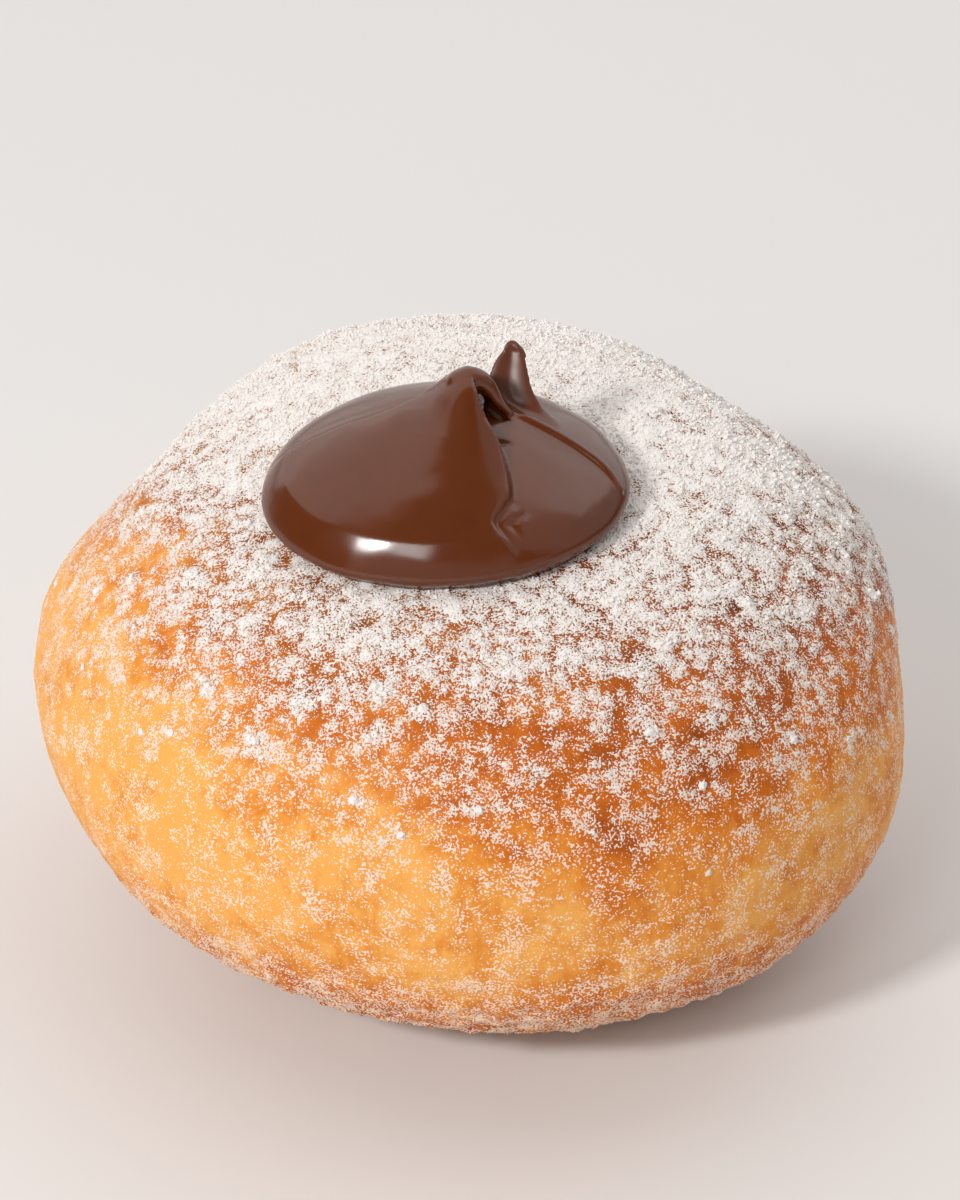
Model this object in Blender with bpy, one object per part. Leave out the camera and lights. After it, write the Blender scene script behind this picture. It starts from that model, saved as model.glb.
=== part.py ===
"""A filled bombolone: a round fried bun under icing sugar, with a dollop of chocolate cream on top.

Metres, +Z up. The origin is on the table under the middle of the bun, +X is to the right of the
side that is looked at, and +Y points away from it. Two pieces:

fried_bun      the dough, one solid, with the largest lumps of its icing sugar fused on
cream_dollop   the cream that was piped in and drawn up: a mound with a curled peak and a tail
"""

import math

import bmesh
import bpy
import numpy as np
from mathutils import Vector
from mathutils.bvhtree import BVHTree

MM = 0.001
TOUCHING_GAP = 0.3 * MM

# The bun. Its belly is the widest line round it; the cap lies above that line.
BUN_RADIUS = 44.1 * MM
BELLY_HEIGHT = 25.4 * MM
CAP_RISE = 25.8 * MM
UNDER_DEPTH = 26.9 * MM
CAP_SQUARENESS = 2.55
UNDER_SQUARENESS = 2.3

# Risen dough is never quite round: its plan is oval and a little egg-shaped, the cap leans over
# the belly, and the belly line climbs towards the back. What would reach below the table is
# pressed flat there, as the foot that the bun stands on.
OVAL_SHARE, OVAL_TURN = 0.043, math.radians(-32.6)
EGG_SHARE, EGG_TURN = 0.019, math.radians(-30)
SHOULDER_OVAL_SHARE, SHOULDER_OVAL_TURN = -0.084, math.radians(-10)
CAP_LEAN = (4.2 * MM, 1.3 * MM)
BELLY_CLIMB, BELLY_CLIMB_TURN = 2.7 * MM, math.radians(110)
CENTRING = (0.2 * MM, -0.9 * MM)

# Where hands pressed or left the dough proud: azimuth and slope in degrees, height, spread in degrees.
KNEAD_MARKS = (
    (152, 22, -2.0 * MM, 14),
    (112, 38, 0.7 * MM, 16),
    (47, 39, -1.1 * MM, 12),
    (12, 25, 0.8 * MM, 14),
    (172, 6, 0.7 * MM, 14),
    (-5, 8, -0.6 * MM, 12),
    (-157, -19, -0.4 * MM, 10),
    (78, 2, 0.6 * MM, 17),
    (106, -8, -0.6 * MM, 15),
    (-70, 12, 0.3 * MM, 12),
)

# Below the cream's hole the crust is drawn down a little: where, how deep and how far round.
DIMPLE = (0.0 * MM, -4.0 * MM)
DIMPLE_DEPTH = 0.8 * MM
DIMPLE_SPREAD = 19.0 * MM

# How often each edge of the cube that the bun is blown up from is cut.
BUN_CUTS = 18

# The largest lumps of icing sugar, each a low-sided ball set half into the crust.
LUMPS = 110
LUMP_RADIUS = (0.55 * MM, 0.95 * MM)
LUMP_SPACING = 3.8 * MM
LUMP_SEED = 7
LUMP_CLEAR_OF_CREAM = 1.8 * MM

# The dollop's plan: its middle, half its width, and how far it reaches to the front and the back.
DOLLOP_MIDDLE = (-2.1 * MM, -6.4 * MM)
DOLLOP_HALF_WIDTH = 18.4 * MM
DOLLOP_FRONT_REACH = 14.4 * MM
DOLLOP_BACK_REACH = 16.0 * MM
DOLLOP_SIDES = 64

# Its flank from the foot, over the swollen rim, to the crown: share of the plan's radius, height.
DOLLOP_FLANK = (
    (0.93, 0.0 * MM),
    (1.0, 1.7 * MM),
    (0.96, 3.1 * MM),
    (0.86, 4.5 * MM),
    (0.70, 5.9 * MM),
    (0.52, 7.2 * MM),
    (0.36, 8.2 * MM),
    (0.24, 8.7 * MM),
    (0.15, 9.0 * MM),
    (0.08, 9.1 * MM),
    (0.0, 9.1 * MM),
)

# The last ribbon of cream covers the front left and is drawn up to the peak. This is its edge,
# from the left rim along its crest, round behind the peak, and down the seam to the front rim.
PEAK = (0.5 * MM, -4.1 * MM)
PEAK_RISE = 4.7 * MM
PEAK_SPREAD = 2.9 * MM
RIBBON_LIFT = 0.6 * MM
RIBBON_EDGE_WIDTH = 0.7 * MM
RIBBON_EDGE = (
    (-23.0 * MM, -3.6 * MM),
    (-14.6 * MM, -3.0 * MM),
    (-8.1 * MM, -2.6 * MM),
    (-3.0 * MM, -2.2 * MM),
    (0.6 * MM, -2.0 * MM),
    (1.9 * MM, -3.4 * MM),
    (1.9 * MM, -6.4 * MM),
    (3.6 * MM, -10.2 * MM),
    (4.4 * MM, -13.9 * MM),
    (3.0 * MM, -17.2 * MM),
    (4.6 * MM, -19.3 * MM),
    (4.0 * MM, -24.0 * MM),
)

# Its end flops over to the right as an arch above a small hollow, lands on the crown and runs
# down to the right rim as a ridge. The arch has heights above the seat; the ridge lies on the mound.
ARCH = (
    (-0.6 * MM, -4.0 * MM, 12.1 * MM),
    (0.8 * MM, -3.8 * MM, 13.5 * MM),
    (2.1 * MM, -3.6 * MM, 13.2 * MM),
    (2.9 * MM, -3.7 * MM, 11.9 * MM),
    (3.8 * MM, -3.9 * MM, 10.5 * MM),
    (5.2 * MM, -3.2 * MM, 9.2 * MM),
)
ARCH_RADII = (1.3 * MM, 1.0 * MM, 0.75 * MM, 0.65 * MM, 0.65 * MM, 0.65 * MM)
RIDGE = (
    (7.8 * MM, -2.2 * MM),
    (10.3 * MM, -3.2 * MM),
    (12.3 * MM, -5.1 * MM),
    (13.8 * MM, -6.8 * MM),
    (15.0 * MM, -8.3 * MM),
)
RIDGE_RADII = (0.6 * MM, 0.55 * MM, 0.5 * MM, 0.45 * MM, 0.4 * MM)

# Behind the arch a second tail was drawn up, a thin leaf with its tip hooked to the right:
# place, with its height above the seat, half its width, half its thickness.
TAIL = (
    ((5.2 * MM, -1.4 * MM, 6.3 * MM), 2.4 * MM, 0.9 * MM),
    ((4.8 * MM, -0.9 * MM, 8.9 * MM), 1.9 * MM, 0.7 * MM),
    ((4.3 * MM, -0.4 * MM, 11.1 * MM), 1.4 * MM, 0.55 * MM),
    ((4.1 * MM, 0.0 * MM, 12.7 * MM), 1.2 * MM, 0.5 * MM),
    ((4.4 * MM, 0.1 * MM, 13.7 * MM), 0.9 * MM, 0.4 * MM),
)
TUBE_SIDES = 8

# Linear colours.
CRUST_COLOUR, CRUST_ROUGHNESS = (0.72, 0.42, 0.20), 0.75
CREAM_COLOUR, CREAM_ROUGHNESS = (0.12, 0.045, 0.022), 0.25


def smooth_curve(points, steps):
    """A Catmull-Rom curve through the points, with this many steps from each to the next."""
    points = np.asarray(points, float)
    padded = np.concatenate([[2 * points[0] - points[1]], points, [2 * points[-1] - points[-2]]])
    shares = np.linspace(0, 1, steps, endpoint=False)[:, None]
    runs = []
    for before, start, end, after in zip(padded, padded[1:], padded[2:], padded[3:]):
        runs.append(
            0.5
            * (
                2 * start
                + (end - before) * shares
                + (2 * before - 5 * start + 4 * end - after) * shares**2
                + (3 * start - before - 3 * end + after) * shares**3
            )
        )
    return np.concatenate(runs + [points[-1:]])


def direction(azimuth, slope):
    """The unit vector at these angles, in radians."""
    level = math.cos(slope)
    return np.array([level * math.cos(azimuth), level * math.sin(azimuth), math.sin(slope)])


def bun_skin(directions):
    """Where the bun's skin lies in each of these directions, an array of unit vectors."""
    azimuth = np.arctan2(directions[:, 1], directions[:, 0])
    rise = np.clip(directions[:, 2], -1, 1)
    level = np.sqrt(1 - rise**2)
    on_cap = rise >= 0
    power = 2 / np.where(on_cap, CAP_SQUARENESS, UNDER_SQUARENESS)
    reach = level**power
    lean = np.clip(rise, 0, 1)

    oval = OVAL_SHARE * np.cos(2 * (azimuth - OVAL_TURN))
    egg = EGG_SHARE * np.cos(3 * (azimuth - EGG_TURN))
    shoulder = SHOULDER_OVAL_SHARE * lean * level * np.cos(2 * (azimuth - SHOULDER_OVAL_TURN))
    radius = BUN_RADIUS * reach * (1 + oval + egg) * (1 + shoulder)
    height = np.sign(rise) * np.where(on_cap, CAP_RISE, UNDER_DEPTH) * np.abs(rise) ** power
    climb = np.cos(azimuth - BELLY_CLIMB_TURN) * np.where(on_cap, reach, reach**2)
    height += BELLY_HEIGHT + BELLY_CLIMB * climb
    skin = np.stack(
        [
            radius * np.cos(azimuth) + CAP_LEAN[0] * lean + CENTRING[0],
            radius * np.sin(azimuth) + CAP_LEAN[1] * lean + CENTRING[1],
            height,
        ],
        axis=1,
    )
    for mark_azimuth, mark_slope, mark_height, spread in KNEAD_MARKS:
        middle = direction(math.radians(mark_azimuth), math.radians(mark_slope))
        turn = np.degrees(np.arccos(np.clip(directions @ middle, -1, 1)))
        skin += directions * (mark_height * np.exp(-((turn / spread) ** 2)))[:, None]
    from_dimple = np.hypot(skin[:, 0] - DIMPLE[0], skin[:, 1] - DIMPLE[1]) / DIMPLE_SPREAD
    skin[:, 2] -= np.where(on_cap, DIMPLE_DEPTH * np.exp(-(from_dimple**2)), 0)
    skin[:, 2] = np.clip(skin[:, 2], 0, None)
    return skin


def finish(name, colour, roughness):
    """A plain material of this linear colour."""
    made = bpy.data.materials.new(name)
    made.use_nodes = True
    shader = made.node_tree.nodes["Principled BSDF"]
    shader.inputs["Base Color"].default_value = (*colour, 1)
    shader.inputs["Roughness"].default_value = roughness
    shader.inputs["Metallic"].default_value = 0
    return made


def new_object(name, mesh_parts, collection=None):
    """A smooth-shaded object from a bmesh, which is freed. Its faces become triangles, all flat."""
    bmesh.ops.triangulate(mesh_parts, faces=mesh_parts.faces[:])
    mesh = bpy.data.meshes.new(name)
    mesh_parts.to_mesh(mesh)
    mesh_parts.free()
    mesh.shade_smooth()
    made = bpy.data.objects.new(name, mesh)
    (collection or bpy.context.scene.collection).objects.link(made)
    return made


def make_bun():
    """The dough: a cube's even grid blown up to a ball, and each point moved out to the skin."""
    ball = bmesh.new()
    bmesh.ops.create_cube(ball, size=2)
    bmesh.ops.subdivide_edges(ball, edges=ball.edges[:], cuts=BUN_CUTS, use_grid_fill=True)
    spread = np.tan(np.array([vert.co for vert in ball.verts]) * math.pi / 4)
    spread /= np.linalg.norm(spread, axis=1)[:, None]
    for vert, place in zip(ball.verts, bun_skin(spread)):
        vert.co = place
    return new_object("fried_bun", ball)


def dollop_reach(azimuth):
    """How far the dollop's plan reaches from its middle at this azimuth."""
    depth = DOLLOP_BACK_REACH if math.sin(azimuth) > 0 else DOLLOP_FRONT_REACH
    return 1 / math.hypot(math.cos(azimuth) / DOLLOP_HALF_WIDTH, math.sin(azimuth) / depth)


def under_cream(x, y):
    """Whether this place on the bun is under the dollop, or nearly."""
    across, along = x - DOLLOP_MIDDLE[0], y - DOLLOP_MIDDLE[1]
    return math.hypot(across, along) < dollop_reach(math.atan2(along, across)) + LUMP_CLEAR_OF_CREAM


def join(target, collection):
    """Joins the collection's objects to the target as one solid, then removes them."""
    union = target.modifiers.new("joined", "BOOLEAN")
    union.operation = "UNION"
    union.solver = "EXACT"
    union.operand_type = "COLLECTION"
    union.collection = collection
    graph = bpy.context.evaluated_depsgraph_get()
    target.data = bpy.data.meshes.new_from_object(target.evaluated_get(graph))
    target.data.name = target.name
    target.modifiers.clear()
    target.data.shade_smooth()
    for piece in list(collection.objects):
        bpy.data.objects.remove(piece)
    bpy.data.collections.remove(collection)


def sugar_share(place):
    """How much of the bun's skin the sugar covers here: most round the dollop and behind it."""
    up = (place[2] - BELLY_HEIGHT) / CAP_RISE
    return float(np.clip(1.2 * up - 0.05 + 4 * place[0] + 3 * place[1], 0, 1))


def sugar_lumps():
    """Where each of the largest lumps lies, and its radius: (place, radius) pairs, largest first."""
    draw = np.random.default_rng(LUMP_SEED)
    places = []
    while len(places) < LUMPS:
        azimuth = draw.uniform(-math.pi, math.pi)
        slope = math.asin(draw.uniform(0.1, 1))
        keep = draw.uniform()
        place = bun_skin(direction(azimuth, slope)[None])[0]
        if keep > sugar_share(place) or under_cream(place[0], place[1]):
            continue
        if all(np.linalg.norm(place - other) > LUMP_SPACING for other in places):
            places.append(place)
    radii = np.sort(draw.uniform(*LUMP_RADIUS, LUMPS))[::-1]
    return list(zip(places, radii))


def add_lumps(bun):
    """Fuses the largest sugar lumps to the crust."""
    lumps = bpy.data.collections.new("lumps")
    bpy.context.scene.collection.children.link(lumps)
    draw = np.random.default_rng(LUMP_SEED + 1)
    for place, radius in sugar_lumps():
        ball = bmesh.new()
        bmesh.ops.create_icosphere(ball, subdivisions=1, radius=radius)
        stretch = Vector(draw.uniform(0.8, 1.25, 3))
        for vert in ball.verts:
            vert.co = vert.co * stretch + Vector(place)
        new_object("lump", ball, lumps)
    join(bun, lumps)


def ring_mesh(rings, start, end):
    """A closed skin over rings of points, run to a single point at each end."""
    skin = bmesh.new()
    first = skin.verts.new(start)
    last = skin.verts.new(end)
    rows = [[skin.verts.new(point) for point in ring] for ring in rings]
    sides = len(rows[0])
    for side in range(sides):
        beside = (side + 1) % sides
        skin.faces.new((first, rows[0][beside], rows[0][side]))
        skin.faces.new((last, rows[-1][side], rows[-1][beside]))
        for row, above in zip(rows, rows[1:]):
            skin.faces.new((row[side], row[beside], above[beside], above[side]))
    bmesh.ops.recalc_face_normals(skin, faces=skin.faces[:])
    return skin


def tube_mesh(path, half_widths, half_thicknesses, across):
    """A tapered tube of oval section along the path, its width lying as near as it can to across."""
    path = np.asarray(path)
    along = np.gradient(path, axis=0)
    along /= np.linalg.norm(along, axis=1)[:, None]
    turns = 2 * math.pi * np.arange(TUBE_SIDES) / TUBE_SIDES
    rings = []
    for place, ahead, half_width, half_thickness in zip(path, along, half_widths, half_thicknesses):
        wide = across - ahead * np.dot(ahead, across)
        wide /= np.linalg.norm(wide)
        deep = np.cross(ahead, wide) * half_thickness
        rings.append(place + np.outer(np.cos(turns), wide * half_width) + np.outer(np.sin(turns), deep))
    start = path[0] - along[0] * half_thicknesses[0] / 2
    end = path[-1] + along[-1] * half_thicknesses[-1] / 2
    return ring_mesh(rings, start, end)


def ribbon_cover(x, y):
    """1 where the last ribbon of cream lies on the mound, 0 off it, and between across its edge."""
    here = np.array([x, y])
    nearest, inside = math.inf, 0.0
    for start, end in zip(np.array(RIBBON_EDGE), np.array(RIBBON_EDGE[1:])):
        run = end - start
        share = np.clip(np.dot(here - start, run) / np.dot(run, run), 0, 1)
        off = here - start - run * share
        distance = math.hypot(*off)
        if distance < nearest:
            nearest = distance
            inside = math.copysign(distance, off[0] * run[1] - off[1] * run[0])
    share = np.clip(inside / RIBBON_EDGE_WIDTH / 2 + 0.5, 0, 1)
    return share * share * (3 - 2 * share)


def mound_height(x, y, share, height):
    """The mound's height above its seat: the flank's, with the ribbon and its peak on top."""
    from_peak = math.hypot(x - PEAK[0], y - PEAK[1])
    peak = PEAK_RISE * math.exp(-((from_peak / PEAK_SPREAD) ** 1.5))
    return height + ribbon_cover(x, y) * (RIBBON_LIFT * np.clip((1 - share) / 0.2, 0, 1) + peak)


def make_cream(bun):
    """The dollop, set down on the bun: the mound, the arch and ridge, and the tail, joined."""
    tree = BVHTree.FromObject(bun, bpy.context.evaluated_depsgraph_get())

    def seat(x, y):
        return tree.ray_cast(Vector((x, y, 1)), Vector((0, 0, -1)))[0].z + TOUCHING_GAP

    def ring(share, height, is_top):
        gather = (1 - share) ** 2
        middle = [low + (high - low) * gather for low, high in zip(DOLLOP_MIDDLE, PEAK)]
        points = []
        for side in range(DOLLOP_SIDES):
            azimuth = 2 * math.pi * side / DOLLOP_SIDES
            radius = share * dollop_reach(azimuth)
            x = middle[0] + radius * math.cos(azimuth)
            y = middle[1] + radius * math.sin(azimuth)
            rise = mound_height(x, y, share, height) if is_top else height
            points.append((x, y, seat(x, y) + rise))
        return points

    flank = smooth_curve(DOLLOP_FLANK, 2)
    rings = [ring(DOLLOP_FLANK[0][0] * share, 0, False) for share in (0.3, 0.6, 0.85)]
    rings += [ring(share, height, True) for share, height in flank[:-1]]
    foot = (*DOLLOP_MIDDLE, seat(*DOLLOP_MIDDLE))
    top = (*PEAK, seat(*PEAK) + mound_height(*PEAK, 0, DOLLOP_FLANK[-1][1]))
    cream = new_object("cream_dollop", ring_mesh(rings, foot, top))

    mound = BVHTree.FromObject(cream, bpy.context.evaluated_depsgraph_get())
    parts = bpy.data.collections.new("cream_parts")
    bpy.context.scene.collection.children.link(parts)
    arch = [(x, y, seat(x, y) + height) for x, y, height in ARCH]
    for x, y in RIDGE:
        arch.append(tuple(mound.ray_cast(Vector((x, y, 1)), Vector((0, 0, -1)))[0]))
    path = smooth_curve(arch, 2)
    radii = smooth_curve([[radius] for radius in ARCH_RADII + RIDGE_RADII], 2)[:, 0]
    new_object("arch", tube_mesh(path, radii, radii, np.array([0, 1.0, 0])), parts)

    path = smooth_curve([(x, y, seat(x, y) + height) for (x, y, height), _, _ in TAIL], 2)
    sizes = smooth_curve([(half_width, half_thickness) for _, half_width, half_thickness in TAIL], 2)
    new_object("tail", tube_mesh(path, sizes[:, 0], sizes[:, 1], np.array([1.0, 0, 0])), parts)
    join(cream, parts)
    return cream


def main():
    for obj in list(bpy.data.objects):
        bpy.data.objects.remove(obj)
    bun = make_bun()
    cream = make_cream(bun)
    add_lumps(bun)
    bun.data.materials.clear()
    bun.data.materials.append(finish("fried_crust", CRUST_COLOUR, CRUST_ROUGHNESS))
    cream.data.materials.clear()
    cream.data.materials.append(finish("chocolate_cream", CREAM_COLOUR, CREAM_ROUGHNESS))


if __name__ == "__main__":
    main()
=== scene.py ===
import math

import bmesh
import bpy
import numpy as np
from mathutils import Matrix, Vector, noise
from mathutils.bvhtree import BVHTree


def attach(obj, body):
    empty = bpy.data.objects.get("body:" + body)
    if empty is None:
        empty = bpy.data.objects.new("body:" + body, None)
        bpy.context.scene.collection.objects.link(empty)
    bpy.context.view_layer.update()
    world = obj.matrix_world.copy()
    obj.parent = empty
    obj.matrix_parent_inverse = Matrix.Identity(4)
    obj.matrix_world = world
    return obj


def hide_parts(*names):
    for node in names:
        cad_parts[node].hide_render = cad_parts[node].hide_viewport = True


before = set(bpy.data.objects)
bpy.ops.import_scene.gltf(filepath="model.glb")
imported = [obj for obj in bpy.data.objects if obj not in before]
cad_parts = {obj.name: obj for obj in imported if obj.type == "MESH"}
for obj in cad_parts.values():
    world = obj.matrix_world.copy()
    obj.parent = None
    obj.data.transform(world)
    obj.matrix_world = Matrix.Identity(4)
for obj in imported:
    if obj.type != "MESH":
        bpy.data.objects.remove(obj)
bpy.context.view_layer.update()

MM = 0.001


# ---- The fried bun -------------------------------------------
# Yeast dough, shaped by hand and fried in deep fat on one side and then the other. Both faces
# browned, and a pale ring stayed round the belly where the dough floated above the fat.

BUN_RADIUS = 44.1 * MM
BELLY_HEIGHT = 25.4 * MM
CAP_RISE = 25.8 * MM
UNDER_DEPTH = 26.9 * MM
CAP_SQUARENESS = 2.55
UNDER_SQUARENESS = 2.3
OVAL_SHARE, OVAL_TURN = 0.043, math.radians(-32.6)
EGG_SHARE, EGG_TURN = 0.019, math.radians(-30)
SHOULDER_OVAL_SHARE, SHOULDER_OVAL_TURN = -0.084, math.radians(-10)
CAP_LEAN = (4.2 * MM, 1.3 * MM)
BELLY_CLIMB, BELLY_CLIMB_TURN = 2.7 * MM, math.radians(110)
CENTRING = (0.2 * MM, -0.9 * MM)
KNEAD_MARKS = (  # azimuth and slope in degrees, height, spread in degrees
    (152, 22, -2.0 * MM, 14),
    (112, 38, 0.7 * MM, 16),
    (47, 39, -1.1 * MM, 12),
    (12, 25, 0.8 * MM, 14),
    (172, 6, 0.7 * MM, 14),
    (-5, 8, -0.6 * MM, 12),
    (-157, -19, -0.4 * MM, 10),
    (78, 2, 0.6 * MM, 17),
    (106, -8, -0.6 * MM, 15),
    (-70, 12, 0.3 * MM, 12),
)
DIMPLE = (0.0 * MM, -4.0 * MM)
DIMPLE_DEPTH = 0.8 * MM
DIMPLE_SPREAD = 19.0 * MM
BUN_CUTS = 127  # keeps the dough under 200,000 triangles
DOLLOP_MIDDLE = (-2.1 * MM, -6.4 * MM)
DOLLOP_HALF_WIDTH = 18.4 * MM
DOLLOP_FRONT_REACH, DOLLOP_BACK_REACH = 14.4 * MM, 16.0 * MM


def direction(azimuth, slope):
    """The unit vector at these angles, in radians."""
    level = math.cos(slope)
    return np.array([level * math.cos(azimuth), level * math.sin(azimuth), math.sin(slope)])


def bun_skin(directions):
    """Where the bun's skin lies in each of these directions, as the CAD solid has it."""
    azimuth = np.arctan2(directions[:, 1], directions[:, 0])
    rise = np.clip(directions[:, 2], -1, 1)
    level = np.sqrt(1 - rise**2)
    on_cap = rise >= 0
    power = 2 / np.where(on_cap, CAP_SQUARENESS, UNDER_SQUARENESS)
    reach = level**power
    lean = np.clip(rise, 0, 1)
    oval = OVAL_SHARE * np.cos(2 * (azimuth - OVAL_TURN))
    egg = EGG_SHARE * np.cos(3 * (azimuth - EGG_TURN))
    shoulder = SHOULDER_OVAL_SHARE * lean * level * np.cos(2 * (azimuth - SHOULDER_OVAL_TURN))
    radius = BUN_RADIUS * reach * (1 + oval + egg) * (1 + shoulder)
    height = np.sign(rise) * np.where(on_cap, CAP_RISE, UNDER_DEPTH) * np.abs(rise) ** power
    climb = np.cos(azimuth - BELLY_CLIMB_TURN) * np.where(on_cap, reach, reach**2)
    height += BELLY_HEIGHT + BELLY_CLIMB * climb
    across = radius * np.cos(azimuth) + CAP_LEAN[0] * lean + CENTRING[0]
    along = radius * np.sin(azimuth) + CAP_LEAN[1] * lean + CENTRING[1]
    skin = np.stack([across, along, height], axis=1)
    for mark_azimuth, mark_slope, mark_height, spread in KNEAD_MARKS:
        middle = direction(math.radians(mark_azimuth), math.radians(mark_slope))
        turn = np.degrees(np.arccos(np.clip(directions @ middle, -1, 1)))
        skin += directions * (mark_height * np.exp(-((turn / spread) ** 2)))[:, None]
    from_dimple = np.hypot(skin[:, 0] - DIMPLE[0], skin[:, 1] - DIMPLE[1]) / DIMPLE_SPREAD
    skin[:, 2] -= np.where(on_cap, DIMPLE_DEPTH * np.exp(-(from_dimple**2)), 0)
    skin[:, 2] = np.clip(skin[:, 2], 0, None)
    return skin


def new_object(name, mesh):
    """An object at the origin with this mesh, shaded smooth."""
    mesh.shade_smooth()
    made = bpy.data.objects.new(name, mesh)
    bpy.context.scene.collection.objects.link(made)
    return made


def smooth_step(low, high, value):
    """0 below low, 1 above high, and an even S between."""
    share = np.clip((value - low) / (high - low), 0, 1)
    return share * share * (3 - 2 * share)


def feed(tree, node, feeds):
    """Gives the node its inputs: a socket is linked in, and a value is set."""
    for name, given in dict(feeds).items():
        if isinstance(given, bpy.types.NodeSocket):
            tree.links.new(given, node.inputs[name])
        else:
            node.inputs[name].default_value = given


def add(tree, kind, feeds=(), **settings):
    """A new node with these inputs and settings."""
    node = tree.nodes.new(kind)
    for name, value in settings.items():
        setattr(node, name, value)
    feed(tree, node, feeds)
    return node


def new_material(name):
    """A material, its tree, its shader, and the place on the object for its patterns to follow."""
    made = bpy.data.materials.new(name)
    made.use_nodes = True
    tree = made.node_tree
    place = add(tree, "ShaderNodeTexCoord").outputs["Object"]
    return made, tree, tree.nodes["Principled BSDF"], place


def linear(hex_colour):
    """An sRGB hex colour as linear red, green, blue and 1."""
    shares = [int(hex_colour[start : start + 2], 16) / 255 for start in (1, 3, 5)]
    return (*[s / 12.92 if s <= 0.04045 else ((s + 0.055) / 1.055) ** 2.4 for s in shares], 1)


# A point's browning: 0 in the pale ring, 1 where the crust is darkest. The ring's upper edge stands
# higher at the left and dips at the front right; its lower edge is level.
RING_TOP, RING_TOP_SPREAD = 33.5 * MM, (-5.5 * MM, 8.0 * MM)
RING_TOP_RISES = (  # azimuth and spread in degrees, height
    (-162, 46, 6.5 * MM),
    (-70, 17, -3.5 * MM),
    (-20, 24, 1.5 * MM),
)
RING_FOOT, RING_FOOT_SPREAD = 15.0 * MM, (-8.0 * MM, 9.0 * MM)
# The browning at the foot is partly the crust's own, from frying, and partly painted shade that darkens
# the underside.
CAP_BROWNING, CAP_BROWNING_TO_THE_RIGHT, FOOT_BROWNING_AND_PAINTED_SHADE, RING_BROWNING = 0.47, 0.28, 0.5, 0.15
BROWNER_RIGHTWARD = (-30 * MM, 30 * MM)
BROWN_PATCHES = (  # azimuth in degrees, height, spread, browning
    (-108, 11 * MM, 9 * MM, 0.14),
    (-71, 30 * MM, 6 * MM, 0.14),
    (-150, 18 * MM, 7 * MM, 0.08),
    (-88, 14 * MM, 6 * MM, 0.06),
)


def turned_from(azimuth, places):
    """How far round the bun each place is from this azimuth, in degrees."""
    turned = np.degrees(np.arctan2(places[:, 1], places[:, 0])) - azimuth
    return np.mod(turned + 180, 360) - 180


def with_patches(shade, places, patches):
    """The shade with soft round patches added, each with an azimuth, height, spread and strength."""
    for azimuth, height, spread, more in patches:
        around = np.radians(turned_from(azimuth, places)) * BUN_RADIUS
        off = np.hypot(around, places[:, 2] - height)
        shade = shade + more * np.exp(-((off / spread) ** 2))
    return shade


def browning(places):
    ring_top = np.full(len(places), RING_TOP)
    for azimuth, spread, rise in RING_TOP_RISES:
        ring_top += rise * np.exp(-((turned_from(azimuth, places) / spread) ** 2))
    above = smooth_step(*RING_TOP_SPREAD, places[:, 2] - ring_top)
    below = smooth_step(*RING_FOOT_SPREAD, RING_FOOT - places[:, 2])
    to_the_right = smooth_step(*BROWNER_RIGHTWARD, places[:, 0])
    shade = above * (CAP_BROWNING + CAP_BROWNING_TO_THE_RIGHT * to_the_right)
    shade = np.maximum(shade, FOOT_BROWNING_AND_PAINTED_SHADE * below) + RING_BROWNING * to_the_right * (1 - above)
    return np.clip(with_patches(shade, places, BROWN_PATCHES), 0, 1)


FAR_FROM_CREAM = 1.0


def dollop_reach(off):
    """How far the cream reaches from its middle, towards each of these offsets from it."""
    azimuth = np.arctan2(off[..., 1], off[..., 0])
    depth = np.where(off[..., 1] > 0, DOLLOP_BACK_REACH, DOLLOP_FRONT_REACH)
    return 1 / np.hypot(np.cos(azimuth) / DOLLOP_HALF_WIDTH, np.sin(azimuth) / depth)


def clear_of_dollop(places):
    """How far each point is from the edge of the cream's footprint: negative under the cream."""
    off = places[:, :2] - DOLLOP_MIDDLE
    clear = np.linalg.norm(off, axis=1) - dollop_reach(off)
    return np.where(places[:, 2] > BELLY_HEIGHT, clear, FAR_FROM_CREAM)


# The largest lumps of sugar, where the CAD solid has them, and how much powder lies round each.
LUMPS = 110
LUMP_RADIUS = (0.55 * MM, 0.95 * MM)
LUMP_SPACING = 3.8 * MM
LUMP_SEED = 7
LUMP_CLEAR_OF_CREAM = 1.8 * MM
LOWEST_LUMP = 0.1  # the sine of its slope
LUMPS_BY_RISE, LUMPS_AT_BELLY, LUMPS_TO_THE_RIGHT, LUMPS_TO_THE_BACK = 1.2, -0.05, 4, 3
LUMP_POWDER, LUMP_POWDER_SPREAD = 1.1, 1.3 * MM


def lump_places():
    draw = np.random.default_rng(LUMP_SEED)
    places = []
    while len(places) < LUMPS:
        azimuth = draw.uniform(-math.pi, math.pi)
        slope = math.asin(draw.uniform(LOWEST_LUMP, 1))
        keep = draw.uniform()
        place = bun_skin(direction(azimuth, slope)[None])[0]
        likely = LUMPS_BY_RISE * ((place[2] - BELLY_HEIGHT) / CAP_RISE) + LUMPS_AT_BELLY
        likely += LUMPS_TO_THE_RIGHT * place[0]
        likely += LUMPS_TO_THE_BACK * place[1]
        if keep > np.clip(likely, 0, 1):
            continue
        if clear_of_dollop(place[None])[0] < LUMP_CLEAR_OF_CREAM:
            continue
        if all(np.linalg.norm(place - other) > LUMP_SPACING for other in places):
            places.append(place)
    return places, np.sort(draw.uniform(*LUMP_RADIUS, LUMPS))[::-1]


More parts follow.
